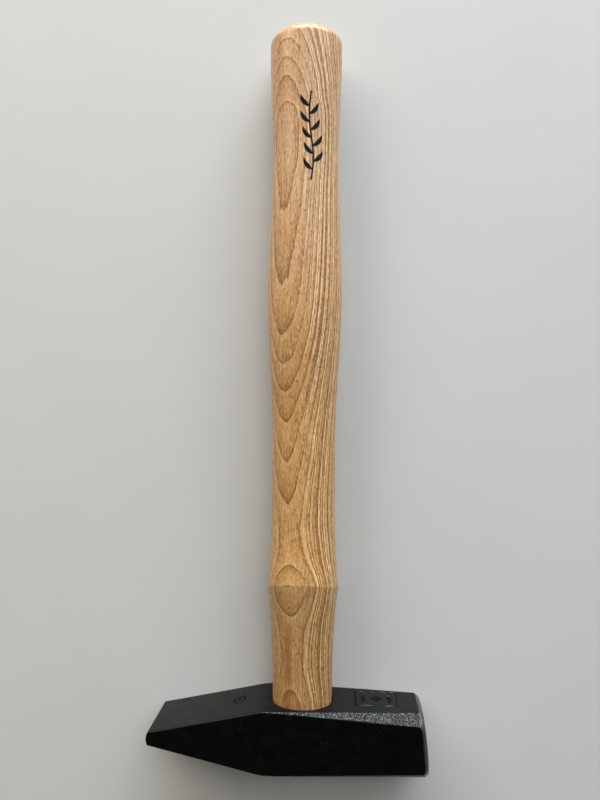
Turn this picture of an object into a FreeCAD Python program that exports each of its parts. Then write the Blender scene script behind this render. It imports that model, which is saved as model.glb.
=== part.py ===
import FreeCAD, Part
import math
import os
from FreeCAD import Placement, Rotation, Vector

# Engineer's cross-peen hammer, 500 g pattern, lying on one cheek.
# +X points to the striking face, +Y along the handle to its free end, +Z up.
# It is modelled with y = 0 on the side of the head that the handle leaves,
# and moved at the end so that the origin is under the middle of its box.
# Lengths are in millimetres, angles in degrees.

# Head: a square bar, tapered on two sides to the peen.
HEAD_LENGTH = 120.4
HEAD_SIZE = 27.0
KNEE_FROM_PEEN = 49.6
KNEE_RADIUS = 18.0
PEEN_THICKNESS = 5.8
PEEN_CROWN = 0.7
CHAMFER_ON_SIDE = 5.0
CHAMFER_ON_CHEEK = 3.9

# Striking face: a crowned, round-cornered square inside a narrow ground bevel.
# It leans, so that the side of the head that the handle leaves is the shorter.
FACE_HALF = 12.1
FACE_CORNER = 5.5
FACE_CROWN = 0.4
BEVEL_SLOPE = 1.1
FACE_LEAN = 5.0

# Oval eye, waisted in the middle, as (half width in X, half width in Z).
EYE_FROM_MIDDLE = 5.9
EYE_MOUTH = (13.1, 10.2)
EYE_WAIST = (12.3, 9.5)
EYE_TOP = (13.2, 10.4)
EYE_WAIST_DEPTH = 12.0
EYE_RIM = 0.7

# Plain forging marks pressed into the handle side of the head.
MARK_DEPTH = 0.4
MARK_LINE = 0.9
PLATE_MIDDLE = (38.4, 12.0)
PLATE_SIZE = (19.0, 13.0)
DOT_MIDDLE = (-22.1, 12.5)
DOT_RING_RADIUS = 2.9

# Handle, measured from the head: full widths (X) and thicknesses (Z).
HANDLE_REACH = 297.5
TENON_PROUD = 1.2
SHOULDER_WIDTH = 31.2
SHOULDER_WIDTH_Y = 49.8
SHOULDER_THICKNESS = 24.4
SHOULDER_THICKNESS_Y = 53.2
SHOULDER_OVERLAP = 10.0
WAIST_Y = 88.0
WIDTHS = [(WAIST_Y, 27.9), (115.0, 27.9), (177.0, 32.8), (240.0, 29.3), (290.0, 32.1)]
THICKNESSES = [(WAIST_Y, 21.2), (115.0, 21.4), (177.0, 25.8), (240.0, 24.4), (290.0, 27.0)]
NECK_CURVE = 2.7
NECK_LINEAR_SHARE = 0.2
SECTION_STEP = 12.0

# Wedges in the end of the tenon.
WEDGE_LENGTH = 21.0
WEDGE_THICK_END = 3.6
WEDGE_THIN_END = 0.8
RING_LENGTH = 11.0
RING_OUTER_RADIUS = 6.0
RING_TIP_RADIUS = 5.3
RING_BORE_RADIUS = 4.8

HALF_SIZE = HEAD_SIZE / 2.0
HALF_LENGTH = HEAD_LENGTH / 2.0
KNEE_X = KNEE_FROM_PEEN - HALF_LENGTH
TENON_END_Y = -HEAD_SIZE - TENON_PROUD
BOX_MIDDLE_Y = (HANDLE_REACH + TENON_END_Y) / 2.0
DOME_Y = WIDTHS[-1][0]


def half_space(point, normal):
    """A thick slab that starts at a plane and lies on the side of its normal."""
    slab = Part.makeBox(400, 400, 60, Vector(-200, -200, 0))
    slab.Placement = Placement(point, Rotation(Vector(0, 0, 1), normal))
    return slab


def oval(y, half_width, half_thickness):
    """An ellipse around the handle's axis at height y."""
    centre = Vector(EYE_FROM_MIDDLE, y, HALF_SIZE)
    major = centre + Vector(half_width, 0, 0)
    minor = centre + Vector(0, 0, half_thickness)
    return Part.Wire(Part.Ellipse(major, minor, centre).toShape())


def head_blank():
    """The square bar with its two slopes, rounded knees and crowned peen."""
    peen_half = PEEN_THICKNESS / 2.0
    peen_x = -HALF_LENGTH + PEEN_CROWN
    upper = Vector(peen_x, -HALF_SIZE + peen_half, 0)
    lower = Vector(peen_x, -HALF_SIZE - peen_half, 0)
    tip = Vector(-HALF_LENGTH, -HALF_SIZE, 0)
    corners = [
        upper,
        Vector(KNEE_X, 0, 0),
        Vector(HALF_LENGTH + 1, 0, 0),
        Vector(HALF_LENGTH + 1, -HEAD_SIZE, 0),
        Vector(KNEE_X, -HEAD_SIZE, 0),
        lower,
    ]
    edges = list(Part.makePolygon(corners).Edges)
    edges.append(Part.Arc(lower, tip, upper).toShape())
    blank = Part.Face(Part.Wire(edges)).extrude(Vector(0, 0, HEAD_SIZE))
    knees = [edge for edge in blank.Edges if is_upright_at(edge, KNEE_X)]
    return blank.makeFillet(KNEE_RADIUS, knees)


def is_upright_at(edge, x):
    """True for an edge along Z at the given x."""
    box = edge.BoundBox
    return box.ZLength > HEAD_SIZE - 1 and abs(box.Center.x - x) < 0.01


def chamfer_corners(head):
    """Cut the four long edges with planes that start at the knees."""
    for side_y in (0, -HEAD_SIZE):
        for side_z in (0, HEAD_SIZE):
            inward_y = -1 if side_y == 0 else 1
            inward_z = 1 if side_z == 0 else -1
            knee = Vector(KNEE_X, side_y, side_z)
            on_side = Vector(HALF_LENGTH, side_y, side_z + inward_z * CHAMFER_ON_SIDE)
            on_cheek = Vector(HALF_LENGTH, side_y + inward_y * CHAMFER_ON_CHEEK, side_z)
            normal = (on_side - knee).cross(on_cheek - knee)
            if normal.dot(Vector(0, inward_y, inward_z)) > 0:
                normal = normal * -1
            head = head.cut(half_space(knee, normal))
    return head


def rounded_square(x, half, corner):
    """The outline of a square with rounded corners, across the head's axis."""
    reach = half - corner
    bulge = reach + corner * math.sqrt(0.5)
    edges = []
    for along, across in ((1, 0), (0, 1), (-1, 0), (0, -1)):
        points = []
        for out, side in ((half, -reach), (half, reach), (bulge, bulge), (reach, half)):
            points.append(Vector(x, out * along - side * across, out * across + side * along))
        edges.append(Part.makeLine(points[0], points[1]))
        edges.append(Part.Arc(*points[1:]).toShape())
    return Part.Wire(edges)


def face_envelope():
    """A long spreading body that ends in the crowned face and its bevel."""
    sections = []
    for run in (4.0, -HEAD_LENGTH - 10.0):
        spread = -run / BEVEL_SLOPE
        sections.append(rounded_square(run - FACE_CROWN, FACE_HALF + spread, FACE_CORNER + spread))
    radius = (FACE_HALF ** 2 + FACE_CROWN ** 2) / (2 * FACE_CROWN)
    body = Part.makeLoft(sections, True, True)
    body = body.common(Part.makeSphere(radius, Vector(-radius, 0, 0)))
    body.rotate(Vector(0, 0, 0), Vector(0, 0, 1), FACE_LEAN)
    lean = math.radians(FACE_LEAN)
    highest = FACE_HALF * math.sin(lean) - FACE_CROWN * math.cos(lean)
    body.translate(Vector(HALF_LENGTH - highest, -HALF_SIZE, HALF_SIZE))
    return body


def eye_solid():
    """The waisted oval through the head, which the tenon fills."""
    sections = [
        oval(0, *EYE_MOUTH),
        oval(-EYE_WAIST_DEPTH, *EYE_WAIST),
        oval(-HEAD_SIZE, *EYE_TOP),
    ]
    return Part.makeLoft(sections, True, False)


def eye_rim():
    """The small countersink around the eye's mouth."""
    inner = oval(-EYE_RIM, *EYE_MOUTH)
    outer = oval(0.01, EYE_MOUTH[0] + EYE_RIM, EYE_MOUTH[1] + EYE_RIM)
    return Part.makeLoft([inner, outer], True, True)


def mark_box(middle_x, middle_z, size_x, size_z):
    """A shallow cutter on the handle side of the head."""
    corner = Vector(middle_x - size_x / 2.0, -MARK_DEPTH, middle_z - size_z / 2.0)
    return Part.makeBox(size_x, 2 * MARK_DEPTH, size_z, corner)


def plate_mark():
    """A plain frame with two bars and a diamond inside it."""
    middle_x, middle_z = PLATE_MIDDLE
    size_x, size_z = PLATE_SIZE
    frame = mark_box(middle_x, middle_z, size_x, size_z)
    frame = frame.cut(mark_box(middle_x, middle_z, size_x - 2 * MARK_LINE, size_z - 2 * MARK_LINE))
    cutters = [frame]
    for side in (-1, 1):
        cutters.append(mark_box(middle_x + side * 0.3 * size_x, middle_z, 2 * MARK_LINE, 0.5 * size_z))
    diamond = mark_box(0, 0, 0.3 * size_z, 0.3 * size_z)
    diamond.rotate(Vector(0, 0, 0), Vector(0, 1, 0), 45)
    diamond.translate(Vector(middle_x, 0, middle_z))
    cutters.append(diamond)
    return cutters


def dot_mark():
    """A small ring with a dot, pressed square into the peen's slope."""
    rise = HALF_SIZE - PEEN_THICKNESS / 2.0
    slope = math.degrees(math.atan(rise / (KNEE_FROM_PEEN - PEEN_CROWN)))
    down = Vector(0, -1, 0)
    base = Vector(0, MARK_DEPTH, 0)
    ring = Part.makeCylinder(DOT_RING_RADIUS, 2 * MARK_DEPTH, base, down)
    ring = ring.cut(Part.makeCylinder(DOT_RING_RADIUS - MARK_LINE, 2 * MARK_DEPTH, base, down))
    dot = Part.makeCylinder(MARK_LINE, 2 * MARK_DEPTH, base, down)
    middle_x, middle_z = DOT_MIDDLE
    surface_y = (middle_x - KNEE_X) * math.tan(math.radians(slope))
    for cutter in (ring, dot):
        cutter.rotate(Vector(0, 0, 0), Vector(0, 0, 1), slope)
        cutter.translate(Vector(middle_x, surface_y, middle_z))
    return [ring, dot]


def build_head():
    """The forged head with its eye and marks."""
    head = chamfer_corners(head_blank())
    head = head.common(face_envelope())
    for cutter in [eye_solid(), eye_rim()] + plate_mark() + dot_mark():
        head = head.cut(cutter)
    return head.removeSplitter()


def between(stations, y):
    """Half-cosine curve through (y, full size) stations, as a half size."""
    for (low_y, low), (high_y, high) in zip(stations, stations[1:]):
        if y <= high_y:
            share = (1 - math.cos(math.pi * (y - low_y) / (high_y - low_y))) / 2.0
            return (low + share * (high - low)) / 2.0
    return stations[-1][1] / 2.0


def shaft_half(stations, shoulder, shoulder_y, y):
    """Half size of the shaft: it flares from the waist down to the shoulder."""
    if y >= WAIST_Y:
        return between(stations, y)
    waist = stations[0][1] / 2.0
    flare = (WAIST_Y - y) / (WAIST_Y - shoulder_y)
    return waist + (shoulder / 2.0 - waist) * flare ** 2


def neck_half(mouth, shoulder, shoulder_y, y):
    """Half size of the neck: it widens from the head up to the shoulder."""
    rise = shoulder / 2.0 - mouth
    share = y / shoulder_y
    curved = (1 - NECK_LINEAR_SHARE) * share ** NECK_CURVE
    return mouth + rise * (NECK_LINEAR_SHARE * share + curved)


def steps(low, high):
    """Evenly spaced heights from low to high, about one section step apart."""
    count = max(2, round((high - low) / SECTION_STEP))
    return [low + (high - low) * index / count for index in range(count + 1)]


def neck_solid():
    """The neck, carried on past the shoulder."""
    sections = []
    for y in steps(0, SHOULDER_THICKNESS_Y + SHOULDER_OVERLAP):
        width = neck_half(EYE_MOUTH[0], SHOULDER_WIDTH, SHOULDER_WIDTH_Y, y)
        thickness = neck_half(EYE_MOUTH[1], SHOULDER_THICKNESS, SHOULDER_THICKNESS_Y, y)
        sections.append(oval(y, width, thickness))
    return Part.makeLoft(sections, True, False)


def shaft_solid():
    """The grip, carried on below the shoulder."""
    sections = []
    for y in steps(SHOULDER_WIDTH_Y - SHOULDER_OVERLAP, DOME_Y):
        width = shaft_half(WIDTHS, SHOULDER_WIDTH, SHOULDER_WIDTH_Y, y)
        thickness = shaft_half(THICKNESSES, SHOULDER_THICKNESS, SHOULDER_THICKNESS_Y, y)
        sections.append(oval(y, width, thickness))
    return Part.makeLoft(sections, True, False)


def end_dome():
    """Half an ellipsoid that closes the free end."""
    matrix = FreeCAD.Matrix()
    matrix.scale(Vector(WIDTHS[-1][1] / 2.0, HANDLE_REACH - DOME_Y, THICKNESSES[-1][1] / 2.0))
    ball = Part.makeSphere(1.0, Vector(0, 0, 0), Vector(0, 1, 0), 0, 90, 360)
    dome = ball.transformGeometry(matrix)
    dome.translate(Vector(EYE_FROM_MIDDLE, DOME_Y, HALF_SIZE))
    return dome


def handle_outside():
    """Neck, shoulder and grip: where neck and shaft cross, the smaller wins."""
    neck = neck_solid()
    shaft = shaft_solid()
    low_y = SHOULDER_WIDTH_Y - SHOULDER_OVERLAP
    high_y = SHOULDER_THICKNESS_Y + SHOULDER_OVERLAP
    below = neck.cut(half_space(Vector(0, low_y, 0), Vector(0, 1, 0)))
    above = shaft.cut(half_space(Vector(0, high_y, 0), Vector(0, -1, 0)))
    return below.fuse([neck.common(shaft), above, end_dome()]).removeSplitter()


def tenon_solid():
    """The eye's filling, with a short straight stub beyond the head."""
    stub = Part.Face(oval(-HEAD_SIZE, *EYE_TOP)).extrude(Vector(0, -TENON_PROUD, 0))
    return eye_solid().fuse(stub).removeSplitter()


def wedge_plate():
    """A tapered plate along the eye's long axis, wider than the eye."""
    thick = WEDGE_THICK_END / 2.0
    thin = WEDGE_THIN_END / 2.0
    corners = [
        Vector(-HEAD_SIZE, TENON_END_Y, HALF_SIZE - thick),
        Vector(-HEAD_SIZE, TENON_END_Y, HALF_SIZE + thick),
        Vector(-HEAD_SIZE, TENON_END_Y + WEDGE_LENGTH, HALF_SIZE + thin),
        Vector(-HEAD_SIZE, TENON_END_Y + WEDGE_LENGTH, HALF_SIZE - thin),
    ]
    outline = Part.makePolygon(corners + corners[:1])
    return Part.Face(outline).extrude(Vector(3 * HEAD_SIZE, 0, 0))


def build_ring():
    """The steel ring wedge, sharpened towards the inner end."""
    base = Vector(EYE_FROM_MIDDLE, TENON_END_Y, HALF_SIZE)
    inward = Vector(0, 1, 0)
    outside = Part.makeCone(RING_OUTER_RADIUS, RING_TIP_RADIUS, RING_LENGTH, base, inward)
    return outside.cut(Part.makeCylinder(RING_BORE_RADIUS, RING_LENGTH, base, inward))


def build_parts():
    """Every piece of the hammer, by name."""
    ring = build_ring()
    tenon = tenon_solid()
    plate = wedge_plate()
    wedge = tenon.common(plate).cut(ring)
    handle = handle_outside().fuse(tenon).removeSplitter()
    handle = handle.cut(plate).cut(ring)
    return {
        "hammer_head": build_head(),
        "handle": handle,
        "wood_wedge": wedge,
        "ring_wedge": ring,
    }


os.makedirs("parts", exist_ok=True)
for name, shape in build_parts().items():
    shape.translate(Vector(0, -BOX_MIDDLE_Y, 0))
    box = shape.BoundBox
    print(name, "solids", len(shape.Solids), "valid", shape.isValid())
    print("   cm3", round(shape.Volume / 1000.0, 2))
    spans = (box.XMin, box.XMax, box.YMin, box.YMax, box.ZMin, box.ZMax)
    print("   x %.2f %.2f  y %.2f %.2f  z %.2f %.2f" % spans)
    shape.exportStep("parts/" + name + ".step")
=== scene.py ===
import math

import bmesh
import bpy
import numpy as np
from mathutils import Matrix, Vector, noise


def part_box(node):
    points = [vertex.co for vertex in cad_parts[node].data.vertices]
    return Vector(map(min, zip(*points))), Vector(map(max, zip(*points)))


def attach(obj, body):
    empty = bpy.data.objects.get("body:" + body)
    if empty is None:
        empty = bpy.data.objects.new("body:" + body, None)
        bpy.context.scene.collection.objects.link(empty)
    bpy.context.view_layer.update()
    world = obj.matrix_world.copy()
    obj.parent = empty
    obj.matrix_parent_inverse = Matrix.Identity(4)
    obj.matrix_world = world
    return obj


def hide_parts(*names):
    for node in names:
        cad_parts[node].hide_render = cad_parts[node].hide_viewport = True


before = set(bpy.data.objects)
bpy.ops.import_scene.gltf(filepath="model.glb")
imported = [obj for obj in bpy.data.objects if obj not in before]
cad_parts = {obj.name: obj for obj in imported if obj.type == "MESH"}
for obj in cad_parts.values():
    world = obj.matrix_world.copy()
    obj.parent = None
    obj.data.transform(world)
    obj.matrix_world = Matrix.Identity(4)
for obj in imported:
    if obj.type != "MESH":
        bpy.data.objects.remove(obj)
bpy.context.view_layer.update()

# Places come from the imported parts. Shapes are worked out in millimetres from
# the hammer's own axes: x along the head from its middle, y along the handle
# from the head's near side, z up from the middle of the head's thickness.
MM = 0.001
HEAD_LOW, HEAD_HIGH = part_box("hammer_head")
HANDLE_LOW, HANDLE_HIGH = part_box("handle")
ORIGIN = Vector(((HEAD_LOW.x + HEAD_HIGH.x) / 2, HEAD_HIGH.y, (HEAD_LOW.z + HEAD_HIGH.z) / 2))
HALF_LENGTH = (HEAD_HIGH.x - HEAD_LOW.x) / 2 / MM
HALF_SIZE = (HEAD_HIGH.z - HEAD_LOW.z) / 2 / MM
HEAD_SIZE = 2 * HALF_SIZE
AXIS_X = ((HANDLE_LOW.x + HANDLE_HIGH.x) / 2 - ORIGIN.x) / MM
HANDLE_REACH = (HANDLE_HIGH.y - ORIGIN.y) / MM
TENON_END = (HANDLE_LOW.y - ORIGIN.y) / MM

# Head.
KNEE_FROM_PEEN = 49.6
KNEE_X = KNEE_FROM_PEEN - HALF_LENGTH
KNEE_RADIUS = 18.0
PEEN_HALF = 2.9
PEEN_CROWN = 0.7
CHAMFER_ON_SIDE = 5.0
CHAMFER_ON_CHEEK = 3.9
EDGE_CHAMFER = 0.45
EDGE_RADIUS = 0.7
FACE_HALF = 12.1
FACE_CORNER = 5.5
FACE_CROWN = 0.4
BEVEL_SLOPE = 1.1
FACE_LEAN = math.radians(5.0)
GRIND_EDGE = 0.22
EYE_MOUTH = (13.1, 10.2)
EYE_WAIST = (12.3, 9.5)
EYE_TOP = (13.2, 10.4)
EYE_WAIST_Y = -12.0
EYE_RIM = 0.7
MARK_DEPTH = 0.34
MARK_LINE = 0.9
PLATE_MIDDLE = (38.4, -1.5)
PLATE_SIZE = (19.0, 13.0)
DOT_MIDDLE = (-22.1, -1.0)
DOT_RING_RADIUS = 2.9
MARK_MARGIN = 1.0

# Handle: half sizes at heights along it.
SHOULDER_WIDTH = (49.8, 15.6)
SHOULDER_THICKNESS = (53.2, 12.2)
SHAFT_WIDTH = [(88.0, 13.95), (115.0, 13.95), (177.0, 16.4), (240.0, 14.65), (290.0, 16.05)]
SHAFT_THICKNESS = [(88.0, 10.6), (115.0, 10.7), (177.0, 12.9), (240.0, 12.2), (290.0, 13.5)]
WAIST_Y = SHAFT_WIDTH[0][0]
DOME_Y = SHAFT_WIDTH[-1][0]
NECK_CURVE = 2.7
NECK_LINEAR_SHARE = 0.2

# Wedges.
WEDGE_LENGTH = 21.0
WEDGE_HALVES = (1.8, 0.4)
RING_LENGTH = 11.0
RING_OUTER, RING_TIP, RING_BORE = 6.0, 5.3, 4.8

# Camera, from the hammer's own axes, and the floor.
CAMERA_PLACE = (21.0, 128.9)
CAMERA_HEIGHT = 273.7
CAMERA_TILT = (0.012, 0.065, 0.006)
FLOOR_HALF = 4.0

# Grain: the growth rings' spacing, their distance from the pith, and, at heights
# along the handle, how they lean (degrees) and how far they wander (millimetres).
RING_SPACING = 1.3
PITH_DISTANCE = 60.0
FIRST_RING = 11.25
GRAIN_LEAN = [
    (-30.0, 14.5), (60.0, 14.5), (95.0, 22.5), (190.0, 25.0), (240.0, 28.0), (300.0, 16.0),
]
GRAIN_WANDER = [
    (-30.0, 3.0), (0.0, 1.4), (33.0, -0.3), (50.0, 0.2), (68.0, -0.75), (86.0, 0.0), (110.0, 1.5),
    (137.0, 3.3), (197.0, 6.2), (225.0, 7.8), (245.0, 8.5), (262.0, 6.8), (280.0, 3.8),
    (300.0, 0.3),
]


# ---------------------------------------------------------------- meshes

def new_object(name, points, faces):
    """A smooth mesh object from points in the hammer's own millimetres."""
    mesh = bpy.data.meshes.new(name)
    placed = np.asarray(points, float) * MM + np.array(ORIGIN)
    mesh.from_pydata(placed.tolist(), [], faces)
    mesh.shade_smooth()
    piece = bpy.data.objects.new(name, mesh)
    bpy.context.scene.collection.objects.link(piece)
    return piece


def tube_faces(rows, columns):
    """Quads between rows of points that each close on themselves."""
    faces = []
    for row in range(rows - 1):
        low, high = row * columns, (row + 1) * columns
        for column in range(columns):
            beside = (column + 1) % columns
            faces.append((low + column, low + beside, high + beside, high + column))
    return faces


def weld(piece):
    """Joins points that meet, so that the mesh closes, and turns its faces outward."""
    mesh = bmesh.new()
    mesh.from_mesh(piece.data)
    bmesh.ops.remove_doubles(mesh, verts=mesh.verts, dist=0.0002 * MM)
    bmesh.ops.dissolve_degenerate(mesh, edges=mesh.edges, dist=0.0002 * MM)
    bmesh.ops.recalc_face_normals(mesh, faces=mesh.faces)
    mesh.to_mesh(piece.data)
    mesh.free()


def carve(piece, tool, operation="DIFFERENCE"):
    """Applies a boolean with the tool, and leaves the tool as it is."""
    cut = piece.modifiers.new("cut", "BOOLEAN")
    cut.operation = operation
    cut.solver = "EXACT"
    cut.object = tool
    made = piece.evaluated_get(bpy.context.evaluated_depsgraph_get())
    mesh = bpy.data.meshes.new_from_object(made)
    piece.modifiers.clear()
    piece.data = mesh


def loft(name, sections):
    """A closed solid through sections of equal point counts."""
    columns = len(sections[0])
    points = [point for section in sections for point in section]
    faces = tube_faces(len(sections), columns)
    last = (len(sections) - 1) * columns
    faces.append(tuple(range(columns)))
    faces.append(tuple(range(last, last + columns)))
    piece = new_object(name, points, faces)
    weld(piece)
    return piece


def oval(y, half_width, half_thickness, count=128):
    """Points of an ellipse around the handle's axis."""
    angles = [2 * math.pi * index / count for index in range(count)]
    return [
        (AXIS_X + half_width * math.cos(angle), y, half_thickness * math.sin(angle))
        for angle in angles
    ]


def eye_halves(y):
    """Half width and half thickness of the eye: parabolas through its three sizes."""
    stations = [(-HEAD_SIZE, EYE_TOP), (EYE_WAIST_Y, EYE_WAIST), (0.0, EYE_MOUTH)]
    inside_y = min(max(y, -HEAD_SIZE), 0.0)
    halves = [0.0, 0.0]
    for here_y, here in stations:
        weight = 1.0
        for other_y, _ in stations:
            if other_y != here_y:
                weight *= (inside_y - other_y) / (here_y - other_y)
        halves = [halves[index] + weight * here[index] for index in range(2)]
    return halves


def ease(low, high, value):
    """0 below low, 1 above high and smooth between, for arrays."""
    share = np.clip((value - low) / (high - low), 0, 1)
    return share * share * (3 - 2 * share)


def noise_at(points, size, seed=0.0):
    """Smooth noise of about the given size, from -1 to 1, at each point."""
    shift = Vector((seed, seed * 1.7, seed * 0.3))
    return np.array([noise.noise(Vector(point) / size + shift) for point in points])


def finish_piece(piece, materials, sharp_degrees=35.0):
    """Gives the piece its materials, its sharp edges and its body."""
    for index, material in enumerate(materials):
        if index < len(piece.data.materials):
            piece.data.materials[index] = material
        else:
            piece.data.materials.append(material)
    piece.data.shade_smooth()
    piece.data.set_sharp_from_angle(angle=math.radians(sharp_degrees))
    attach(piece, "root")


# ---------------------------------------------------------------- head

def body_half(x):
    """Half height of the head at x: the slopes to the peen, with rounded knees."""
    slope = (HALF_SIZE - PEEN_HALF) / (KNEE_X + HALF_LENGTH - PEEN_CROWN)
    angle = math.atan(slope)
    tangent = KNEE_RADIUS * math.tan(angle / 2)
    line = HALF_SIZE + np.minimum(x - KNEE_X, 0) * slope
    run = np.clip(x - KNEE_X - tangent, -KNEE_RADIUS * math.sin(angle), 0)
    arc = HALF_SIZE - KNEE_RADIUS + np.sqrt(KNEE_RADIUS ** 2 - run ** 2)
    inside = (x > KNEE_X - tangent * math.cos(angle)) & (x < KNEE_X + tangent)
    return np.where(inside, arc, line)


def chamfer_at(x):
    """Width of the corner chamfer on the side at x: it grows from the knee to the face."""
    share = np.clip((x - KNEE_X) / (HALF_LENGTH - KNEE_X), 0, 1)
    return np.maximum(EDGE_CHAMFER, CHAMFER_ON_SIDE * share)


def line_of(start, end, count):
    """Evenly spaced values from start, up to but not at the end."""
    return [start + (end - start) * index / count for index in range(count)]


def bend_of(start, middle, end, count):
    """Values along a curve that is pulled to the middle one."""
    made = []
    for index in range(count):
        s = index / count
        made.append((1 - s) ** 2 * start + 2 * s * (1 - s) * middle + s * s * end)
    return made


def quarter_columns(side_steps):
    """A quarter of the head's section, from the middle of a side to the middle of a cheek.

    Each column holds, for its y and for its z, the weights of the half height,
    the half thickness, the chamfer and the corner rounding. The way goes along
    the side, over the chamfer with a rounded corner at each end, and along the cheek.
    """
    cheek_steps, chamfer_steps, corner_steps = 12, 14, 3
    drop = CHAMFER_ON_CHEEK / CHAMFER_ON_SIDE
    down, out = drop / math.hypot(drop, 1), 1 / math.hypot(drop, 1)
    corner_a = np.array([[1, 0, 0, 0], [0, 1, -1, 0]], float)
    corner_b = np.array([[1, 0, -drop, 0], [0, 1, 0, 0]], float)
    before_a = corner_a + np.array([[0, 0, 0, 0], [0, 0, 0, -1]])
    after_a = corner_a + np.array([[0, 0, 0, -down], [0, 0, 0, out]])
    before_b = corner_b + np.array([[0, 0, 0, down], [0, 0, 0, -out]])
    after_b = corner_b + np.array([[0, 0, 0, -1], [0, 0, 0, 0]])
    side_middle = before_a * np.array([[1], [0]])
    cheek_middle = after_b * np.array([[0], [1]])
    quarter = line_of(side_middle, before_a, side_steps)
    quarter += bend_of(before_a, corner_a, after_a, corner_steps)
    quarter += line_of(after_a, before_b, chamfer_steps)
    quarter += bend_of(before_b, corner_b, after_b, corner_steps)
    quarter += line_of(after_b, cheek_middle, cheek_steps)
    return np.array(quarter + [cheek_middle])


def section_columns():
    """The whole section, with closer columns on the side that has the marks."""
    marked, plain = quarter_columns(36), quarter_columns(12)
    flip_y = np.array([[-1], [1]])
    flip_z = np.array([[1], [-1]])
    turns = [marked, plain[::-1] * flip_y, plain * flip_y * flip_z, marked[::-1] * flip_z]
    return np.concatenate([turn[:-1] for turn in turns])


def section_points(columns, x):
    """(y, z) from the head's axis, for each column at its own x."""
    chamfer = chamfer_at(x)
    corner = np.minimum(EDGE_RADIUS * math.tan(math.pi / 8), 0.45 * math.sqrt(2) * chamfer)
    sizes = np.stack([body_half(x), np.full_like(x, HALF_SIZE), chamfer, corner], -1)
    return (columns[:, 0] * sizes).sum(-1), (columns[:, 1] * sizes).sum(-1)


def section_normals(columns):
    """Outward (y, z) of each column, read from a section near the face."""
    y, z = section_points(columns, np.full(len(columns), HALF_LENGTH))
    along_y = np.roll(y, -1) - np.roll(y, 1)
    along_z = np.roll(z, -1) - np.roll(z, 1)
    length = np.hypot(along_y, along_z)
    return np.stack([along_z / length, -along_y / length], -1)


def outline_through(y, z):
    """Half size of the round-cornered square, spread from the face's, through each point."""
    core = FACE_HALF - FACE_CORNER
    over_y, over_z = np.abs(y) - core, np.abs(z) - core
    cornered = np.minimum(over_y, over_z) > 0
    over = np.where(cornered, np.hypot(over_y, over_z), np.maximum(over_y, over_z))
    return core + over


def face_x(y, z):
    """x of the striking face and its bevel, for points given from the head's axis."""
    radius = (FACE_HALF ** 2 + FACE_CROWN ** 2) / (2 * FACE_CROWN)
    highest = FACE_HALF * math.sin(FACE_LEAN) - FACE_CROWN * math.cos(FACE_LEAN)
    crown = radius - np.sqrt(radius ** 2 - y ** 2 - z ** 2)
    bevel = FACE_CROWN + BEVEL_SLOPE * (outline_through(y, z) - FACE_HALF)
    return HALF_LENGTH - highest - np.maximum(crown, bevel) - math.tan(FACE_LEAN) * y


def stroke(distance, half_width, wall=0.2):
    """1 inside a pressed line and 0 outside, with sloping walls."""
    return 1 - ease(half_width - wall, half_width + wall, distance)


def plate_press(x, z):
    """How deep the plain plate mark is pressed: a frame, two bars and a diamond."""
    from_x = np.abs(x - PLATE_MIDDLE[0])
    from_z = np.abs(z - PLATE_MIDDLE[1])
    border = np.maximum(from_x - PLATE_SIZE[0] / 2, from_z - PLATE_SIZE[1] / 2)
    frame_line = stroke(np.abs(border + MARK_LINE / 2), MARK_LINE / 2)
    bar_x = np.abs(from_x - 0.3 * PLATE_SIZE[0]) - MARK_LINE
    bar = stroke(np.maximum(bar_x, from_z - 0.25 * PLATE_SIZE[1]), 0.0)
    diamond = stroke((from_x + from_z) / math.sqrt(2) - 0.15 * PLATE_SIZE[1], 0.0)
    return np.maximum(np.maximum(frame_line, bar), diamond)


def dot_press(x, z):
    """How deep the small ring and dot are pressed."""
    away = np.hypot(x - DOT_MIDDLE[0], z - DOT_MIDDLE[1])
    ring = stroke(np.abs(away - DOT_RING_RADIUS + MARK_LINE / 2), MARK_LINE / 2)
    return np.maximum(ring, stroke(away, MARK_LINE))


def spaced(start, end, fine_start, fine_end, coarse, fine):
    """Values from start to end, closer together between fine_start and fine_end."""
    values = []
    stretches = ((start, fine_start, coarse), (fine_start, fine_end, fine), (fine_end, end, coarse))
    for low, high, step in stretches:
        values += line_of(low, high, round((high - low) / step))
    return values + [end]


def body_rows(columns):
    """Rows of the lacquered body, from the peen to the ground bevel."""
    start = -HALF_LENGTH + PEEN_CROWN
    end = np.full(len(columns), HALF_LENGTH)
    for _ in range(6):
        end = face_x(*section_points(columns, end))
    end = end - GRIND_EDGE
    dot_reach = 4.0
    plate_reach = PLATE_SIZE[0] / 2 + MARK_MARGIN
    dot_low, dot_high = DOT_MIDDLE[0] - dot_reach, DOT_MIDDLE[0] + dot_reach
    plate_low, plate_high = PLATE_MIDDLE[0] - plate_reach, PLATE_MIDDLE[0] + plate_reach
    rows = []
    for at in spaced(start, KNEE_X, dot_low, dot_high, 0.8, 0.28)[:-1]:
        x = np.full(len(columns), at)
        rows.append(np.stack([x, *section_points(columns, x)], -1))
    for at in spaced(KNEE_X, HALF_LENGTH, plate_low, plate_high, 0.45, 0.28):
        x = KNEE_X + (end - KNEE_X) * (at - KNEE_X) / (HALF_LENGTH - KNEE_X)
        rows.append(np.stack([x, *section_points(columns, x)], -1))
    return rows


def press_marks(rows, columns):
    """Sinks the marks into the side that the handle leaves, and says where they are."""
    on_side = (columns[:, 0] == [1, 0, 0, 0]).all(-1)
    pressed = []
    for row in rows:
        x, _, z = row.T
        press = np.where(x > KNEE_X, plate_press(x, z), dot_press(x, z)) * on_side
        row[:, 1] -= MARK_DEPTH * press
        pressed.append(press > 0.1)
    return np.array(pressed)


def slanted_columns(columns):
    """True for the columns of the corner chamfers."""
    return np.abs(section_normals(columns)).min(-1) > 0.3


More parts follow.
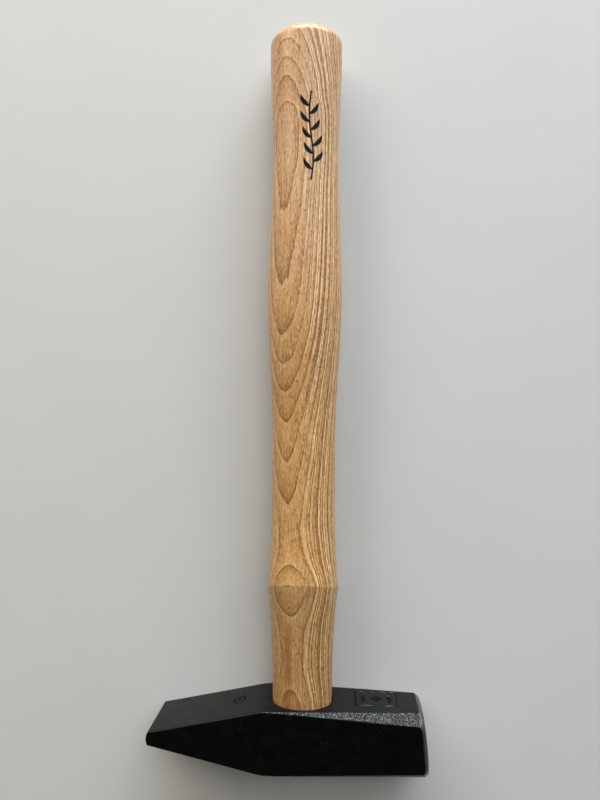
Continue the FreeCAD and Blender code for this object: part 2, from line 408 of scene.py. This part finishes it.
def roughen(rows, columns):
    """Forged skin: broad waves everywhere, and grit on the corner chamfers."""
    normals = section_normals(columns)
    slanted = slanted_columns(columns)
    for row in rows:
        lift = 0.04 * noise_at(row, 9.0)
        grit = 0.06 * noise_at(row, 0.7, 3.0) + 0.06 * noise_at(row, 1.5, 7.0)
        strength = slanted * ease(KNEE_X - 2, KNEE_X + 12, row[:, 0])
        row[:, 1:] += normals * (lift + strength * grit)[:, None]


def ground_rows(edge):
    """Rows over the ground bevel and the crowned face to its middle."""
    edge_share, bevel_steps, disc_steps = 0.017, 6, 12
    rows = []
    for share in (0.4, 0.75, 1.0):
        y, z = edge[:, 1] * (1 - edge_share * share), edge[:, 2] * (1 - edge_share * share)
        turn = math.sin(share * math.pi / 2)
        rows.append(np.stack([edge[:, 0] + (face_x(y, z) - edge[:, 0]) * turn, y, z], -1))
    start = rows[-1]
    rim = 1.0
    for _ in range(12):
        rim = rim * FACE_HALF / outline_through(start[:, 1] * rim, start[:, 2] * rim)
    scales = [1 + (rim - 1) * step / bevel_steps for step in range(1, bevel_steps + 1)]
    scales += [rim * (1 - step / disc_steps) for step in range(1, disc_steps + 1)]
    for scale in scales:
        y, z = start[:, 1] * scale, start[:, 2] * scale
        rows.append(np.stack([face_x(y, z), y, z], -1))
    return rows


def peen_rows_of(edge):
    """Rows over the crowned land of the peen, from its middle line out."""
    steps = 8
    rows = []
    for step in range(steps):
        y = edge[:, 1] * math.sin(step / steps * math.pi / 2)
        x = -HALF_LENGTH + PEEN_CROWN * (y / PEEN_HALF) ** 2
        rows.append(np.stack([x, y, edge[:, 2]], -1))
    return rows


def eye_tool():
    """The space that the eye takes out of the head, with its small countersinks."""
    heights = np.linspace(-HEAD_SIZE + 0.3, -EYE_RIM, 16)
    top = [half + 0.6 for half in EYE_TOP]
    mouth = [half + EYE_RIM for half in EYE_MOUTH]
    sections = [oval(-HEAD_SIZE - 2, *top), oval(-HEAD_SIZE - 0.3, *top)]
    sections += [oval(y, *eye_halves(y)) for y in heights]
    sections += [oval(0.1, *mouth), oval(2, *mouth)]
    return loft("eye_tool", sections)


def build_head():
    """The forged head: lacquered body and peen, ground face, eye and marks."""
    columns = section_columns()
    body = body_rows(columns)
    pressed = press_marks(body, columns)
    roughen(body, columns)
    peen = peen_rows_of(body[0])
    rows = peen + body + ground_rows(body[-1])
    points = np.concatenate(rows)
    points[:, 1] -= HALF_SIZE
    piece = new_object("head", points, tube_faces(len(rows), len(columns)))
    last_lacquered = len(peen) + len(body) - 1
    skins = np.full((len(rows) - 1, len(columns)), 1)
    skins[:last_lacquered] = 0
    slanted = slanted_columns(columns)
    first_grit = len(peen) + sum(row[:, 0].mean() < KNEE_X for row in body)
    skins[first_grit:last_lacquered, slanted & np.roll(slanted, -1)] = 2
    marked = np.zeros(skins.shape, bool)
    marked[len(peen):last_lacquered] = pressed[:-1] & pressed[1:]
    skins[marked & np.roll(marked, -1, 1)] = 3
    for _ in range(4):
        piece.data.materials.append(None)
    piece.data.polygons.foreach_set("material_index", skins.ravel())
    weld(piece)
    tool = eye_tool()
    carve(piece, tool)
    bpy.data.objects.remove(tool)
    paints = [lacquer_material(), ground_material(), gritty_material(), pressed_material()]
    finish_piece(piece, paints)
    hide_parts("hammer_head")


# ---------------------------------------------------------------- handle

def between(stations, y):
    """Half-cosine curve through (y, half size) stations."""
    for (low_y, low), (high_y, high) in zip(stations, stations[1:]):
        if y <= high_y:
            turn = math.pi * (y - low_y) / (high_y - low_y)
            return low + (high - low) * (1 - math.cos(turn)) / 2
    return stations[-1][1]


def shaft_half(stations, shoulder, y):
    """Half size of the grip: it flares from the waist down to the shoulder."""
    if y >= WAIST_Y:
        return between(stations, y)
    flare = (WAIST_Y - y) / (WAIST_Y - shoulder[0])
    return stations[0][1] + (shoulder[1] - stations[0][1]) * flare ** 2


def neck_half(mouth, shoulder, y):
    """Half size of the neck: it widens from the head up to the shoulder."""
    share = y / shoulder[0]
    curved = (1 - NECK_LINEAR_SHARE) * share ** NECK_CURVE
    return mouth + (shoulder[1] - mouth) * (NECK_LINEAR_SHARE * share + curved)


def shaft_halves(y):
    """Half width and half thickness of the grip, and of the dome at its end."""
    under_dome = min(y, DOME_Y)
    rise = min(max(y - DOME_Y, 0) / (HANDLE_REACH - DOME_Y), 1)
    dome = math.sqrt(1 - rise ** 2)
    width = shaft_half(SHAFT_WIDTH, SHOULDER_WIDTH, under_dome)
    return width * dome, shaft_half(SHAFT_THICKNESS, SHOULDER_THICKNESS, under_dome) * dome


def neck_halves(y):
    """Half width and half thickness of the neck, and of the tenon below it."""
    if y < 0:
        return eye_halves(y)
    width = neck_half(EYE_MOUTH[0], SHOULDER_WIDTH, y)
    return width, neck_half(EYE_MOUTH[1], SHOULDER_THICKNESS, y)


def radius_at(halves, angle):
    """Distance from the axis to an ellipse at an angle around it."""
    width, thickness = (max(half, 1e-6) for half in halves)
    return 1 / math.hypot(math.cos(angle) / width, math.sin(angle) / thickness)


def shoulder_y(angle):
    """Height at which neck and grip meet, found by halving."""
    low, high = SHOULDER_WIDTH[0] - 8, SHOULDER_THICKNESS[0] + 8
    for _ in range(30):
        middle = (low + high) / 2
        if radius_at(neck_halves(middle), angle) < radius_at(shaft_halves(middle), angle):
            low = middle
        else:
            high = middle
    return low


def handle_point(angle, y, halves):
    """A point of the handle's surface."""
    radius = radius_at(halves, angle)
    return (AXIS_X + radius * math.cos(angle), y, radius * math.sin(angle))


def handle_sections():
    """Rows of points from the tenon's end to the tip of the dome.

    One row lies on the crease of the shoulder, whose height changes round the
    handle, and the rows on each side of it spread out from it.
    """
    count, tenon_steps, neck_steps, shaft_steps, dome_steps = 176, 28, 56, 250, 26
    angles = [2 * math.pi * index / count for index in range(count)]
    creases = [shoulder_y(angle) for angle in angles]
    rows = []
    for share in (0.0, 0.25, 0.5, 0.75, 0.94):
        halves = [half * share for half in EYE_TOP]
        rows.append([handle_point(angle, TENON_END, halves) for angle in angles])
    for step in range(tenon_steps):
        y = (TENON_END + 0.3) * (1 - step / tenon_steps)
        rows.append([handle_point(angle, y, neck_halves(y)) for angle in angles])
    for step in range(neck_steps):
        heights = [crease * (step / neck_steps) for crease in creases]
        rows.append([handle_point(a, y, neck_halves(y)) for a, y in zip(angles, heights)])
    for step in range(shaft_steps):
        heights = [crease + (DOME_Y - crease) * step / shaft_steps for crease in creases]
        rows.append([handle_point(a, y, shaft_halves(y)) for a, y in zip(angles, heights)])
    for step in range(dome_steps + 1):
        y = DOME_Y + (HANDLE_REACH - DOME_Y) * math.sin(step / dome_steps * math.pi / 2)
        rows.append([handle_point(angle, y, shaft_halves(y)) for angle in angles])
    return rows


def sharpen_shoulder(piece):
    """Marks the crease between neck and grip as a sharp edge."""
    vertices = piece.data.vertices
    for edge in piece.data.edges:
        ends = [(vertices[index].co - ORIGIN) / MM for index in edge.vertices]
        if all(abs(end.y - SHOULDER_WIDTH[0]) < 6 for end in ends):
            heights = [shoulder_y(math.atan2(end.z, end.x - AXIS_X)) for end in ends]
            misses = [abs(end.y - height) for end, height in zip(ends, heights)]
            edge.use_edge_sharp = max(misses) < 0.02


def wedge_tool(name, clearance=0.0):
    """The tapered plate of the wooden wedge, wider than the eye."""
    thick, thin = WEDGE_HALVES
    reach = 20.0
    sections = []
    for y, half in ((TENON_END - clearance, thick), (TENON_END + WEDGE_LENGTH, thin)):
        corners = ((-1, -1), (1, -1), (1, 1), (-1, 1))
        sections.append([(AXIS_X + reach * side, y, half * up) for side, up in corners])
    return loft(name, sections)


def ring_tool(name, clearance=0.0):
    """A solid of the ring wedge: outside cone and bore, with small bevels."""
    end, tip = TENON_END - clearance, TENON_END + RING_LENGTH
    profile = [
        (end, RING_BORE + 0.15), (end, RING_OUTER - 0.15), (end + 0.15, RING_OUTER),
        (tip, RING_TIP), (tip, RING_BORE), (end + 0.15, RING_BORE),
    ]
    rows = [oval(y, radius, radius) for y, radius in profile + profile[:1]]
    points = [point for row in rows for point in row]
    piece = new_object(name, points, tube_faces(len(rows), len(rows[0])))
    weld(piece)
    return piece


def build_handle():
    """The hickory handle, with the kerf and the ring's groove in its tenon."""
    rows = handle_sections()
    points = np.array([point for row in rows for point in row])
    piece = new_object("handle_wood", points, tube_faces(len(rows), len(rows[0])))
    weld(piece)
    for tool in (wedge_tool("kerf_tool", 1.0), ring_tool("groove_tool", 1.0)):
        carve(piece, tool)
        bpy.data.objects.remove(tool)
    finish_piece(piece, [hickory_material()])
    sharpen_shoulder(piece)
    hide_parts("handle")


def build_wedges():
    """The wooden wedge, cut to the tenon's outline, and the steel ring."""
    wedge = wedge_tool("wedge_wood")
    heights = np.linspace(TENON_END - 1, 0, 24)
    outline = loft("tenon_tool", [oval(y, *eye_halves(y)) for y in heights])
    ring = ring_tool("wedge_ring")
    groove = ring_tool("groove_tool", 1.0)
    carve(wedge, outline, "INTERSECT")
    carve(wedge, groove)
    bpy.data.objects.remove(outline)
    bpy.data.objects.remove(groove)
    finish_piece(wedge, [beech_material()])
    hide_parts("wood_wedge")
    finish_piece(ring, [ring_material()])
    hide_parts("ring_wedge")


# ---------------------------------------------------------------- printed sprig

def print_point(x, y, lift):
    """A point of the print: x is how far across the handle it lies from the top line."""
    width, thickness = shaft_halves(y)
    z = thickness * math.sqrt(1 - (x / width) ** 2)
    normal = Vector((x / width ** 2, 0, z / thickness ** 2)).normalized()
    return (AXIS_X + x + normal.x * lift, y, z + normal.z * lift)


def ink_strip(centre_line, half_widths):
    """A closed thin strip of ink that follows a centre line given as (across, y)."""
    lift = 0.05
    across_steps = (-1.0, -0.5, 0.0, 0.5, 1.0)
    rows = []
    for index, ((x, y), half) in enumerate(zip(centre_line, half_widths)):
        before = centre_line[max(index - 1, 0)]
        after = centre_line[min(index + 1, len(centre_line) - 1)]
        along = Vector((after[0] - before[0], after[1] - before[1])).normalized()
        side = Vector((-along.y, along.x)) * half
        places = [(x + side.x * s, y + side.y * s) for s in across_steps]
        top = [print_point(*place, lift) for place in places]
        rows.append(top + [print_point(*place, -lift) for place in places[::-1]])
    return rows


def build_print():
    """A plain printed leaf sprig on the grip, in black ink."""
    foot_y, tip_y, middle, sway = 226.0, 264.0, 3.0, 0.9
    leaf_count, leaf_length, leaf_half, stem_half = 9, 6.2, 1.0, 0.34

    def stem(share):
        """The stem's line: across and y at a share of its length."""
        return (middle + sway * math.sin(share * 2 * math.pi), foot_y + (tip_y - foot_y) * share)

    stem_steps, leaf_steps = 40, 16
    line = [stem(step / stem_steps) for step in range(stem_steps + 1)]
    strips = [ink_strip(line, [stem_half] * len(line))]
    for index in range(leaf_count):
        root = stem(0.12 + 0.8 * index / leaf_count)
        side = 1 if index % 2 else -1
        angle = math.radians(38)
        spine, halves = [], []
        for step in range(leaf_steps + 1):
            share = step / leaf_steps
            curl = angle + 0.5 * (1 - share)
            reach = leaf_length * share
            out, up = side * reach * math.sin(curl), reach * math.cos(curl)
            spine.append((root[0] + out, root[1] + up))
            halves.append(0.06 + leaf_half * math.sin(math.pi * share) ** 0.8 * (1 - 0.3 * share))
        strips.append(ink_strip(spine, halves))
    points, faces = [], []
    for rows in strips:
        base, columns = len(points), len(rows[0])
        points += [point for row in rows for point in row]
        quads = tube_faces(len(rows), columns)
        faces += [tuple(base + corner for corner in quad) for quad in quads]
        last = base + (len(rows) - 1) * columns
        faces.append(tuple(range(base, base + columns)))
        faces.append(tuple(range(last, last + columns)))
    piece = new_object("printed_sprig", points, faces)
    weld(piece)
    finish_piece(piece, [ink_material()])


# ---------------------------------------------------------------- materials

class Paint:
    """A material and short calls that add and wire its nodes."""

    def __init__(self, name):
        self.material = bpy.data.materials.new(name)
        self.material.use_nodes = True
        self.tree = self.material.node_tree
        self.tree.nodes.clear()
        self.shader = self.tree.nodes.new("ShaderNodeBsdfPrincipled")
        output = self.tree.nodes.new("ShaderNodeOutputMaterial")
        self.tree.links.new(self.shader.outputs[0], output.inputs["Surface"])

    def put(self, socket, value):
        """Wires a socket to another one, or sets its own value."""
        if isinstance(value, bpy.types.NodeSocket):
            self.tree.links.new(value, socket)
        else:
            socket.default_value = value

    def node(self, kind, values=(), **settings):
        """Adds a node, with values for its inputs and settings of its own."""
        made = self.tree.nodes.new("ShaderNode" + kind)
        for name, value in settings.items():
            setattr(made, name, value)
        for key, value in dict(values).items():
            self.put(made.inputs[key], value)
        return made

    def maths(self, operation, *values):
        """The result of a sum of numbers."""
        return self.node("Math", enumerate(values), operation=operation).outputs[0]

    def vector(self, operation, *values):
        """The result of a sum of vectors."""
        made = self.node("VectorMath", enumerate(values), operation=operation)
        return made.outputs["Value" if operation in ("DOT_PRODUCT", "LENGTH") else "Vector"]

    def millimetres(self):
        """The hammer's own coordinates, with x from the handle's axis."""
        where = self.node("TexCoord").outputs["Object"]
        shift = tuple(-ORIGIN[index] / MM - (AXIS_X if index == 0 else 0) for index in range(3))
        return self.vector("MULTIPLY_ADD", where, (1 / MM,) * 3, shift)

    def noise(self, where, size, detail=2.0, rough=0.5):
        """Noise whose grains have the given (x, y, z) size, around 0.5."""
        scaled = self.vector("DIVIDE", where, size if isinstance(size, tuple) else (size,) * 3)
        values = {"Vector": scaled, "Scale": 1.0, "Detail": detail, "Roughness": rough}
        return self.node("TexNoise", values).outputs[0]

    def ramp(self, value, stops, interpolation="LINEAR"):
        """Colours at positions from 0 to 1."""
        made = self.node("ValToRGB", {"Fac": value})
        made.color_ramp.interpolation = interpolation
        elements = made.color_ramp.elements
        for position, colour in stops[2:]:
            elements.new(position)
        for element, (position, colour) in zip(elements, stops):
            element.position = position
            channels = colour if isinstance(colour, tuple) else (colour,) * 3
            element.color = (*channels, 1.0)
        return made.outputs["Color"]

    def span(self, value, low, high, to_low=0.0, to_high=1.0, smooth=True):
        """Moves a value from one range to another and stays inside it."""
        values = {"Value": value, "From Min": low, "From Max": high}
        values.update({"To Min": to_low, "To Max": to_high})
        kind = "SMOOTHSTEP" if smooth else "LINEAR"
        return self.node("MapRange", values, interpolation_type=kind).outputs[0]

    def mix(self, share, low, high, blend="MIX"):
        """Mixes two colours."""
        made = self.node("Mix", data_type="RGBA", blend_type=blend)
        for name, value in (("Factor_Float", share), ("A_Color", low), ("B_Color", high)):
            socket = next(item for item in made.inputs if item.identifier == name)
            if isinstance(value, tuple):
                value = (*value, 1.0)
            self.put(socket, value)
        return next(item for item in made.outputs if item.identifier == "Result_Color")

    def bump(self, height, distance, strength=1.0, under=None):
        """A normal from a height of 0 to 1, as deep as distance, in millimetres."""
        values = {"Height": height, "Distance": distance * MM, "Strength": strength}
        if under is not None:
            values["Normal"] = under
        return self.node("Bump", values).outputs[0]

    def set(self, **values):
        """Sets the shader's sockets; a name's underscores stand for spaces."""
        for name, value in values.items():
            self.put(self.shader.inputs[name.replace("_", " ")], value)
        return self.material


def curve_along(paint, y, stations):
    """A value that follows a smooth curve through its (y, value) stations."""
    low_y, high_y = stations[0][0], stations[-1][0]
    length = high_y - low_y
    low = min(value for _, value in stations)
    high = max(value for _, value in stations)
    made = paint.node("FloatCurve", {"Value": paint.span(y, low_y, high_y, smooth=False)})
    curve = made.mapping.curves[0]
    spots = [((at - low_y) / length, (value - low) / (high - low)) for at, value in stations]
    while len(curve.points) < len(spots):
        curve.points.new(0.5, 0.5)
    for point, spot in zip(curve.points, spots):
        point.location = spot
    made.mapping.update()
    return paint.maths("MULTIPLY_ADD", made.outputs[0], high - low, low)


def ring_count(paint, where, y):
    """How many growth rings lie between the first one and each point."""
    lean = paint.maths("RADIANS", curve_along(paint, y, GRAIN_LEAN))
    pith_x = paint.maths("MULTIPLY", paint.maths("SINE", lean), PITH_DISTANCE)
    pith_z = paint.maths("MULTIPLY", paint.maths("COSINE", lean), -PITH_DISTANCE)
    pith = paint.node("CombineXYZ", {0: pith_x, 2: pith_z}).outputs[0]
    flat = paint.vector("MULTIPLY", where, (1.0, 0.0, 1.0))
    depth = paint.vector("LENGTH", paint.vector("SUBTRACT", flat, pith))
    depth = paint.maths("SUBTRACT", depth, PITH_DISTANCE + FIRST_RING)
    depth = paint.maths("ADD", depth, curve_along(paint, y, GRAIN_WANDER))
    warps = (((11.0, 60.0, 11.0), 0.35), ((2.4, 14.0, 2.4), 0.25), ((0.45, 4.0, 0.45), 0.16))
    for size, reach in warps:
        wave = paint.maths("SUBTRACT", paint.noise(where, size, 1.0), 0.5)
        depth = paint.maths("MULTIPLY_ADD", wave, reach, depth)
    return paint.maths("DIVIDE", depth, RING_SPACING)


def hickory_material():
    """Ring-porous wood cut from a solid pattern of growth rings, under clear lacquer."""
    paint = Paint("hickory")
    where = paint.millimetres()
    x, y, _ = paint.node("SeparateXYZ", {0: where}).outputs
    rings = ring_count(paint, where, y)
    ring = paint.maths("FRACT", rings)
    number = paint.maths("FLOOR", rings)
    chance = paint.node("TexWhiteNoise", {"W": number}, noise_dimensions="1D").outputs["Value"]

    early = paint.ramp(ring, [(0.0, 1.0), (0.2, 0.72), (0.45, 0.3), (0.75, 0.08), (1.0, 0.0)])
    band = paint.maths("MULTIPLY", early, paint.span(chance, 0.0, 1.0, 0.15, 0.5))
    frayed = paint.span(paint.noise(where, (0.45, 1.6, 0.45), 1.0), 0.36, 0.6, 0.25, 1.0)
    line = paint.ramp(ring, [(0.0, 1.0), (0.07, 0.9), (0.15, 0.0), (1.0, 0.0)])
    line = paint.maths("MULTIPLY", line, frayed)
    gleam = paint.ramp(ring, [(0.0, 0.0), (0.75, 0.0), (0.93, 1.0), (1.0, 1.0)])

    steep = paint.span(x, -2.0, 7.0)
    hairs = paint.node("TexNoise", {"W": rings, "Scale": 2.7, "Detail": 1.5}, noise_dimensions="1D")
    hairs = hairs.outputs[0]
    dark_hairs = paint.span(hairs, 0.455, 0.49, 1.0, 0.0)
    unbroken = paint.span(frayed, 0.25, 1.0, 0.6, 1.0, smooth=False)
    dark_hairs = paint.maths("MULTIPLY", dark_hairs, unbroken)
    dark_hairs = paint.maths("MULTIPLY", steep, dark_hairs)
    pale_hairs = paint.maths("MULTIPLY", steep, paint.span(hairs, 0.54, 0.60))

    pore_room = paint.maths("MULTIPLY", early, 0.14)
    pores = paint.maths("ADD", paint.noise(where, (0.4, 2.2, 0.4), 1.0), pore_room)
    pores = paint.span(pores, 0.62, 0.70)
    fibres = paint.noise(where, (0.5, 11.0, 0.5), 3.0)
    fibres = paint.ramp(fibres, [(0.3, (0.80, 0.73, 0.64)), (0.7, (1.18, 1.18, 1.15))])
    flecks = paint.noise(where, (0.45, 1.8, 0.45), 2.0)
    flecks = paint.ramp(flecks, [(0.3, (0.84, 0.77, 0.69)), (0.7, (1.14, 1.15, 1.13))])
    blotch = paint.span(paint.noise(where, (9.0, 45.0, 9.0), 2.0), 0.35, 0.65)
    # Paler, pinker wood towards the grip's end: partly the wood's own tone, partly a painted sheen
    # of the lacquer there.
    golden = paint.span(y, 120.0, 235.0, 1.0, 0.0)
    streak = paint.span(paint.maths("ABSOLUTE", paint.maths("ADD", x, 5.6)), 0.4, 2.0, 1.0, 0.0)
    streak = paint.maths("MULTIPLY", streak, paint.span(y, 26.0, 40.0, 0.6, 0.0))

    light = paint.mix(golden, (0.735, 0.49, 0.305), (0.68, 0.435, 0.195))
    light = paint.mix(paint.maths("MULTIPLY", blotch, 0.35), light, (0.68, 0.38, 0.17))
    dark = paint.mix(golden, (0.46, 0.24, 0.11), (0.40, 0.19, 0.05))
    colour = paint.mix(band, light, dark)
    colour = paint.mix(streak, colour, (0.42, 0.15, 0.05))
    colour = paint.mix(paint.maths("MULTIPLY", gleam, 0.28), colour, (0.90, 0.67, 0.40))
    colour = paint.mix(paint.maths("MULTIPLY", pale_hairs, 0.75), colour, (0.99, 0.77, 0.50))
    shadow = paint.span(y, 36.0, 62.0, 0.80, 1.0)
    for shade in (fibres, flecks, shadow):
        colour = paint.mix(1.0, colour, shade, "MULTIPLY")
    colour = paint.mix(paint.maths("MULTIPLY", line, 0.7), colour, (0.25, 0.10, 0.03))
    colour = paint.mix(paint.maths("MULTIPLY", dark_hairs, 0.9), colour, (0.21, 0.092, 0.034))
    colour = paint.mix(paint.maths("MULTIPLY", pores, 0.5), colour, (0.17, 0.07, 0.025))
    normal = paint.node("NewGeometry").outputs["Normal"]
    facing = paint.node("SeparateXYZ", {0: normal}).outputs["Y"]
    end_grain = paint.span(paint.maths("ABSOLUTE", facing), 0.45, 0.95, 0.0, 0.45)
    colour = paint.mix(end_grain, colour, (0.30, 0.15, 0.06))

    relief = paint.bump(paint.maths("SUBTRACT", 1.0, band), 0.05, 0.6)
    relief = paint.bump(paint.maths("SUBTRACT", 1.0, pores), 0.07, 0.8, relief)
    roughness = paint.span(band, 0.0, 1.0, 0.38, 0.52, smooth=False)
    return paint.set(
        Base_Color=colour, Roughness=roughness, Normal=relief, Coat_Weight=0.3,
        Coat_Roughness=0.24, Specular_IOR_Level=0.35,
    )


def beech_material():
    """Pale raw beech with short darker flecks along the grain."""
    paint = Paint("beech")
    where = paint.millimetres()
    fleck = paint.span(paint.noise(where, (0.25, 1.6, 0.25), 1.0), 0.58, 0.68)
    tone = paint.noise(where, (1.2, 12.0, 1.2), 3.0)
    colour = paint.mix(tone, (0.52, 0.34, 0.19), (0.68, 0.48, 0.30))
    colour = paint.mix(paint.maths("MULTIPLY", fleck, 0.5), colour, (0.25, 0.13, 0.06))
    return paint.set(Base_Color=colour, Roughness=0.6, Normal=paint.bump(tone, 0.05))


def black_paint(name, grain, depth, roughness, gloss, painted_glint_strength=0.0):
    """Black lacquer over a skin whose grains have the given size and depth.

    painted_glint_strength is how strongly painted glints lighten the skin's high grains.
    """
    paint = Paint(name)
    where = paint.millimetres()
    skin = paint.noise(where, grain, 3.0, 0.6)
    peel = paint.noise(where, 1.4, 2.0)
    tone = paint.noise(where, 7.0, 3.0)
    dust = paint.span(paint.noise(where, 0.7, 0.0), 0.79, 0.83)
    colour = paint.mix(tone, (0.0008, 0.0011, 0.0013), (0.0018, 0.0022, 0.0025))
    colour = paint.mix(paint.maths("MULTIPLY", dust, 0.14), colour, (0.2, 0.2, 0.2))
    if painted_glint_strength:
        # Painted glints: the skin's high grains are coloured pale bluish grey, as if they caught
        # the light.
        painted_glint = paint.span(skin, 0.50, 0.62, 0.0, painted_glint_strength)
        colour = paint.mix(painted_glint, colour, (0.42, 0.45, 0.50))
    relief = paint.bump(skin, depth, 1.0, paint.bump(peel, 0.03, 0.5))
    rough = paint.span(tone, 0.3, 0.7, roughness - 0.05, roughness + 0.05)
    return paint.set(Base_Color=colour, Roughness=rough, Normal=relief, Specular_IOR_Level=gloss)


def lacquer_material():
    """The smooth black lacquer of the sides and cheeks."""
    return black_paint("lacquer", 0.22, 0.008, 0.36, 0.23)


def gritty_material():
    """Black lacquer over the rough forged skin of the corner chamfers, with painted glints on its
    high grains.
    """
    return black_paint("gritty_lacquer", 0.42, 0.12, 0.32, 0.08, 0.4)


def pressed_material():
    """Lacquer that lies thick and dull in the pressed marks."""
    return black_paint("pressed_lacquer", 0.4, 0.03, 0.6, 0.12)


def steel(name, colour, roughness, where_from):
    """Steel with fine lines; where_from turns coordinates into the lines' own."""
    paint = Paint(name)
    where = paint.millimetres()
    lines = paint.noise(where_from(paint, where), 1.0, 2.0)
    tone = paint.noise(where, 3.0, 3.0)
    pale = tuple(channel * 1.25 for channel in colour)
    deep = tuple(channel * 0.7 for channel in colour)
    shade = paint.mix(paint.span(tone, 0.3, 0.7), colour, pale)
    shade = paint.mix(paint.span(lines, 0.35, 0.65), shade, deep)
    rough = paint.span(lines, 0.3, 0.7, roughness - 0.06, roughness + 0.08)
    return paint.set(
        Base_Color=shade, Roughness=rough, Metallic=1.0, Normal=paint.bump(lines, 0.01, 0.6)
    )


def round_head_axis(paint, where):
    """Coordinates that make rings round the head's axis."""
    x, y, z = paint.node("SeparateXYZ", {0: where}).outputs
    up = paint.maths("ADD", y, HALF_SIZE)
    flat = paint.node("CombineXYZ", {0: up, 1: z}).outputs[0]
    turn = paint.maths("ARCTAN2", z, up)
    away = paint.vector("LENGTH", flat)
    parts = paint.node("CombineXYZ", {0: away, 1: turn, 2: x}).outputs[0]
    return paint.vector("MULTIPLY", parts, (7.0, 2.0, 5.0))


def ground_material():
    """Ground steel of the striking face and its bevel."""
    return steel("ground_steel", (0.21, 0.20, 0.18), 0.38, round_head_axis)


def along_handle(paint, where):
    """Coordinates that make lines along the handle."""
    return paint.vector("DIVIDE", where, (0.2, 4.0, 0.2))


def ring_material():
    """Drawn steel of the ring wedge."""
    return steel("ring_steel", (0.33, 0.32, 0.31), 0.4, along_handle)


def ink_material():
    """Slightly uneven black printing ink."""
    paint = Paint("ink")
    where = paint.millimetres()
    tone = paint.noise(where, (0.4, 1.5, 0.4), 3.0)
    colour = paint.mix(tone, (0.003, 0.0025, 0.002), (0.010, 0.008, 0.006))
    return paint.set(
        Base_Color=colour, Roughness=0.6, Normal=paint.bump(tone, 0.01), Specular_IOR_Level=0.1
    )


def floor_material():
    """Pale painted board with a faint texture."""
    paint = Paint("pale_floor")
    where = paint.millimetres()
    tone = paint.noise(where, 60.0, 3.0)
    colour = paint.mix(tone, (0.62, 0.645, 0.655), (0.66, 0.685, 0.695))
    grit = paint.noise(where, 0.9, 3.0)
    return paint.set(Base_Color=colour, Roughness=0.75, Normal=paint.bump(grit, 0.05, 0.5))


# ---------------------------------------------------------------- stage

def build_floor():
    """A large pale floor under the hammer."""
    half = FLOOR_HALF
    mesh = bpy.data.meshes.new("floor")
    corners = [(-half, -half, 0), (half, -half, 0), (half, half, 0), (-half, half, 0)]
    mesh.from_pydata(corners, [], [(0, 1, 2, 3)])
    floor = bpy.data.objects.new("floor", mesh)
    bpy.context.scene.collection.objects.link(floor)
    mesh.materials.append(floor_material())


def area_light(name, place, aim, size, watts, colour):
    """A soft rectangular lamp at a place, turned to an aim."""
    lamp = bpy.data.lights.new(name, "AREA")
    lamp.shape = "RECTANGLE"
    lamp.size, lamp.size_y = size
    lamp.energy = watts
    lamp.color = colour
    holder = bpy.data.objects.new(name, lamp)
    holder.location = place
    holder.rotation_mode = "QUATERNION"
    holder.rotation_quaternion = (Vector(aim) - Vector(place)).to_track_quat("-Z", "Y")
    bpy.context.scene.collection.objects.link(holder)


def build_room():
    """The dim warm room around the hammer: brighter towards the window."""
    world = bpy.data.worlds.new("room")
    world.use_nodes = True
    tree = world.node_tree
    background = tree.nodes["Background"]
    where = tree.nodes.new("ShaderNodeTexCoord").outputs["Generated"]
    towards = tree.nodes.new("ShaderNodeVectorMath")
    towards.operation = "DOT_PRODUCT"
    tree.links.new(where, towards.inputs[0])
    towards.inputs[1].default_value = Vector((0.4, 1.0, 0.1)).normalized()
    ramp = tree.nodes.new("ShaderNodeValToRGB")
    tree.links.new(towards.outputs["Value"], ramp.inputs[0])
    stops = [
        (0.0, (0.028, 0.024, 0.018)), (0.25, (0.085, 0.072, 0.055)),
        (0.6, (0.44, 0.37, 0.28)), (1.0, (1.3, 1.22, 1.1)),
    ]
    for position, _ in stops[2:]:
        ramp.color_ramp.elements.new(position)
    for element, (position, colour) in zip(ramp.color_ramp.elements, stops):
        element.position = position
        element.color = (*colour, 1)
    tree.links.new(ramp.outputs[0], background.inputs[0])
    background.inputs[1].default_value = 1.0
    bpy.context.scene.world = world


def build_lights():
    """A broad low window beyond the handle's end, with softer light from the other sides."""
    middle, grip, behind = (0.0, 0.0, 0.0), (0.0, 0.05, 0.0), (0.0, -0.1, 0.0)
    area_light("window", (0.2, 2.0, 0.5), middle, (2.0, 0.6), 61.0, (0.90, 0.96, 1.0))
    area_light("side_window", (1.0, 1.3, 0.75), grip, (0.9, 0.6), 6.0, (0.80, 0.91, 1.0))
    area_light("high_window", (0.4, 0.65, 1.3), grip, (1.0, 0.7), 4.5, (0.90, 0.96, 1.0))
    area_light("warm_wall", (-0.75, 1.0, 0.65), grip, (0.8, 0.5), 8.0, (1.0, 0.85, 0.66))
    area_light("back_wall", (-0.2, -1.2, 0.4), behind, (1.2, 0.4), 1.0, (1.0, 0.88, 0.74))
    build_room()
    bpy.context.scene.view_settings.view_transform = "Standard"


def build_camera():
    """Almost straight above, over the handle's waist, tilted a little."""
    camera = bpy.data.objects.new("camera", bpy.data.cameras.new("camera"))
    camera.data.sensor_width = 36.0
    camera.data.lens = 26.3
    camera.data.clip_start = 0.01
    x, y = CAMERA_PLACE
    camera.location = (ORIGIN.x + x * MM, ORIGIN.y + y * MM, CAMERA_HEIGHT * MM)
    camera.rotation_mode = "ZYX"
    camera.rotation_euler = CAMERA_TILT
    bpy.context.scene.collection.objects.link(camera)
    bpy.context.scene.camera = camera


build_camera()
build_lights()
build_floor()
build_head()
build_handle()
build_wedges()
build_print()
